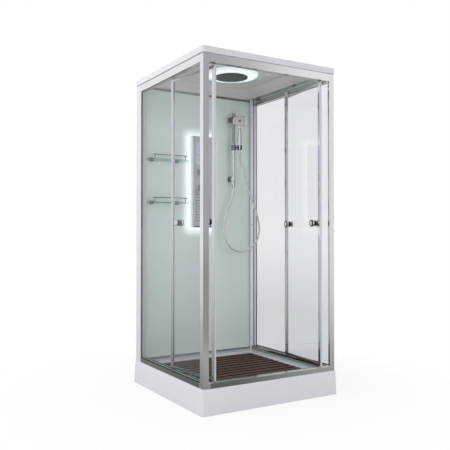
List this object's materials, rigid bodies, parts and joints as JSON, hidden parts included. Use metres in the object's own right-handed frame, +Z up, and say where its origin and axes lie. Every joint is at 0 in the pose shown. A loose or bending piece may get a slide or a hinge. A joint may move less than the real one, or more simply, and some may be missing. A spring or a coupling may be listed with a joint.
{
  "type": "shower enclosure",
  "caption": "Square shower cabin with a tray, clear panes, framed leaves that fold in beside them on tracks, a slatted floor, a lit roof and a control column with a hand shower.",
  "frame": {"origin": "centre of the tray's underside, on the floor", "axes": "+Z up, +Y from the open front to the back wall, +X to the right of someone looking in"},
  "size_m": [1, 1, 2.15],
  "materials": {
    "white_acrylic": "gloss",
    "white_plastic": "satin",
    "dark_wood": "satin",
    "steel": "satin",
    "chrome": "polished",
    "dark_chrome": "polished",
    "chrome_tube": "polished",
    "chrome_plastic": "polished",
    "bright_aluminium": "polished",
    "satin_silver": "satin",
    "clear_glass": "gloss",
    "green_glass": "gloss",
    "display_glass": "gloss",
    "clear_seal": "satin",
    "black_plastic": "satin",
    "grey_plastic": "satin",
    "black_gloss": "gloss",
    "light_diffuser": "satin",
    "glow_diffuser": "satin",
    "brass": "satin",
    "silver_hose": "polished"
  },
  "bodies": {
    "cabin": {"tray": "white_acrylic", "floor_slats": "dark_wood", "floor_bars": "steel", "levelling_feet": "steel", "waste_cover": "chrome", "waste_trap": "grey_plastic", "front_posts": "bright_aluminium", "back_posts": "bright_aluminium", "post_screws": "steel", "bottom_rails": "bright_aluminium", "top_rails": "bright_aluminium", "corner_blocks": "bright_aluminium", "side_panes": "clear_glass", "glazing_beads": "clear_seal", "back_panel": "green_glass", "roof_shell": "white_acrylic", "light_disc": "light_diffuser", "rain_head": "black_gloss", "ceiling_speaker": "white_plastic", "column_housing": "satin_silver", "column_glow": "glow_diffuser", "display_window": "display_glass", "body_jets": "grey_plastic", "waterfall_spout": "black_gloss", "column_mixer": "brass", "supply_pipes": "brass", "riser_bar": "chrome_tube", "riser_bracket": "chrome_plastic", "hose_outlet": "chrome_plastic", "shower_hose": "silver_hose", "shelf_glasses": "clear_glass", "shelf_fittings": "chrome"},
    "left_crank": {"corner_pin_left": "steel"},
    "left_door": {"door_frame_left": "bright_aluminium", "door_glass_left": "clear_glass", "door_seals_left": "clear_seal", "door_knobs_left": "chrome"},
    "left_rear_carriage": {"carriage_rear_left": "black_plastic"},
    "left_rear_wheel_1": {"wheel_rear_1_left": "black_plastic"},
    "left_rear_wheel_2": {"wheel_rear_2_left": "black_plastic"},
    "left_front_carriage": {"carriage_front_left": "black_plastic"},
    "left_front_wheel_1": {"wheel_front_1_left": "black_plastic"},
    "left_front_wheel_2": {"wheel_front_2_left": "black_plastic"},
    "right_crank": {"corner_pin_right": "steel"},
    "right_door": {"door_frame_right": "bright_aluminium", "door_glass_right": "clear_glass", "door_seals_right": "clear_seal", "door_knobs_right": "chrome"},
    "right_rear_carriage": {"carriage_rear_right": "black_plastic"},
    "right_rear_wheel_1": {"wheel_rear_1_right": "black_plastic"},
    "right_rear_wheel_2": {"wheel_rear_2_right": "black_plastic"},
    "right_front_carriage": {"carriage_front_right": "black_plastic"},
    "right_front_wheel_1": {"wheel_front_1_right": "black_plastic"},
    "right_front_wheel_2": {"wheel_front_2_right": "black_plastic"},
    "slider": {"slider": "chrome_plastic"},
    "cradle": {"cradle": "chrome_plastic"},
    "hand_shower": {"hand_shower": "chrome_plastic", "spray_face": "grey_plastic"},
    "temperature_knob": {"temperature_knob": "chrome"},
    "diverter_knob": {"diverter_knob": "dark_chrome"}
  },
  "joints": [
    {"name": "left_door_guide", "type": "hinge", "parent": "cabin", "child": "left_crank", "pos_m": [-0.45, -0.45, 2.07], "axis": [0, 0, -1], "range_deg": [0, 82.9]},
    {"name": "left_door_turn", "type": "hinge", "parent": "left_crank", "child": "left_door", "pos_m": [-0.42352, -0.23739, 1.104], "axis": [0, 0, -1], "range_deg": [-165.8, 0]},
    {"name": "left_rear_carriage_pivot", "type": "hinge", "parent": "left_door", "child": "left_rear_carriage", "pos_m": [-0.45, -0.02479, 2.024], "axis": [0, 0, -1], "range_deg": [0, 82.9]},
    {"name": "left_rear_wheel_1_spin", "type": "hinge", "parent": "left_rear_carriage", "child": "left_rear_wheel_1", "pos_m": [-0.455, -0.03679, 2.0448], "axis": [1, 0, 0], "continuous": true},
    {"name": "left_rear_wheel_2_spin", "type": "hinge", "parent": "left_rear_carriage", "child": "left_rear_wheel_2", "pos_m": [-0.455, -0.01279, 2.0448], "axis": [1, 0, 0], "continuous": true},
    {"name": "left_front_carriage_pivot", "type": "hinge", "parent": "left_door", "child": "left_front_carriage", "pos_m": [-0.39704, -0.45, 2.024], "axis": [0, 0, -1], "range_deg": [0, 82.9]},
    {"name": "left_front_wheel_1_spin", "type": "hinge", "parent": "left_front_carriage", "child": "left_front_wheel_1", "pos_m": [-0.38504, -0.455, 2.0448], "axis": [0, 1, 0], "continuous": true},
    {"name": "left_front_wheel_2_spin", "type": "hinge", "parent": "left_front_carriage", "child": "left_front_wheel_2", "pos_m": [-0.40904, -0.455, 2.0448], "axis": [0, 1, 0], "continuous": true},
    {"name": "right_door_guide", "type": "hinge", "parent": "cabin", "child": "right_crank", "pos_m": [0.45, -0.45, 2.07], "axis": [0, 0, 1], "range_deg": [0, 82.9]},
    {"name": "right_door_turn", "type": "hinge", "parent": "right_crank", "child": "right_door", "pos_m": [0.42352, -0.23739, 1.104], "axis": [0, 0, 1], "range_deg": [-165.8, 0]},
    {"name": "right_rear_carriage_pivot", "type": "hinge", "parent": "right_door", "child": "right_rear_carriage", "pos_m": [0.45, -0.02479, 2.024], "axis": [0, 0, 1], "range_deg": [0, 82.9]},
    {"name": "right_rear_wheel_1_spin", "type": "hinge", "parent": "right_rear_carriage", "child": "right_rear_wheel_1", "pos_m": [0.455, -0.03679, 2.0448], "axis": [1, 0, 0], "continuous": true},
    {"name": "right_rear_wheel_2_spin", "type": "hinge", "parent": "right_rear_carriage", "child": "right_rear_wheel_2", "pos_m": [0.455, -0.01279, 2.0448], "axis": [1, 0, 0], "continuous": true},
    {"name": "right_front_carriage_pivot", "type": "hinge", "parent": "right_door", "child": "right_front_carriage", "pos_m": [0.39704, -0.45, 2.024], "axis": [0, 0, 1], "range_deg": [0, 82.9]},
    {"name": "right_front_wheel_1_spin", "type": "hinge", "parent": "right_front_carriage", "child": "right_front_wheel_1", "pos_m": [0.38504, -0.455, 2.0448], "axis": [0, 1, 0], "continuous": true},
    {"name": "right_front_wheel_2_spin", "type": "hinge", "parent": "right_front_carriage", "child": "right_front_wheel_2", "pos_m": [0.40904, -0.455, 2.0448], "axis": [0, 1, 0], "continuous": true},
    {"name": "slider_height", "type": "slide", "parent": "cabin", "child": "slider", "axis": [0, 0, 1], "range_m": [-0.19, 0.12], "deforming": ["shower_hose"]},
    {"name": "cradle_tilt", "type": "hinge", "parent": "slider", "child": "cradle", "pos_m": [0.30288, 0.37207, 1.693], "axis": [0.8669, -0.4985, 0], "range_deg": [-3, 20], "deforming": ["shower_hose"]},
    {"name": "hand_shower_lift", "type": "slide", "parent": "cradle", "child": "hand_shower", "axis": [0, 0, 1], "range_m": [0, 0.06], "deforming": ["shower_hose"]},
    {"name": "temperature_turn", "type": "hinge", "parent": "cabin", "child": "temperature_knob", "pos_m": [-0.02, 0.386, 1.489], "axis": [0, 1, 0], "range_deg": [-90, 90]},
    {"name": "diverter_turn", "type": "hinge", "parent": "cabin", "child": "diverter_knob", "pos_m": [-0.02, 0.386, 1.382], "axis": [0, -1, 0], "range_deg": [-90, 45]}
  ],
  "couplings": [
    {"joint": "left_door_turn", "follows": "left_door_guide", "ratio": -2},
    {"joint": "left_rear_carriage_pivot", "follows": "left_door_guide", "ratio": 1},
    {"joint": "left_front_carriage_pivot", "follows": "left_door_guide", "ratio": 1},
    {"joint": "right_door_turn", "follows": "right_door_guide", "ratio": -2},
    {"joint": "right_rear_carriage_pivot", "follows": "right_door_guide", "ratio": 1},
    {"joint": "right_front_carriage_pivot", "follows": "right_door_guide", "ratio": 1}
  ]
}
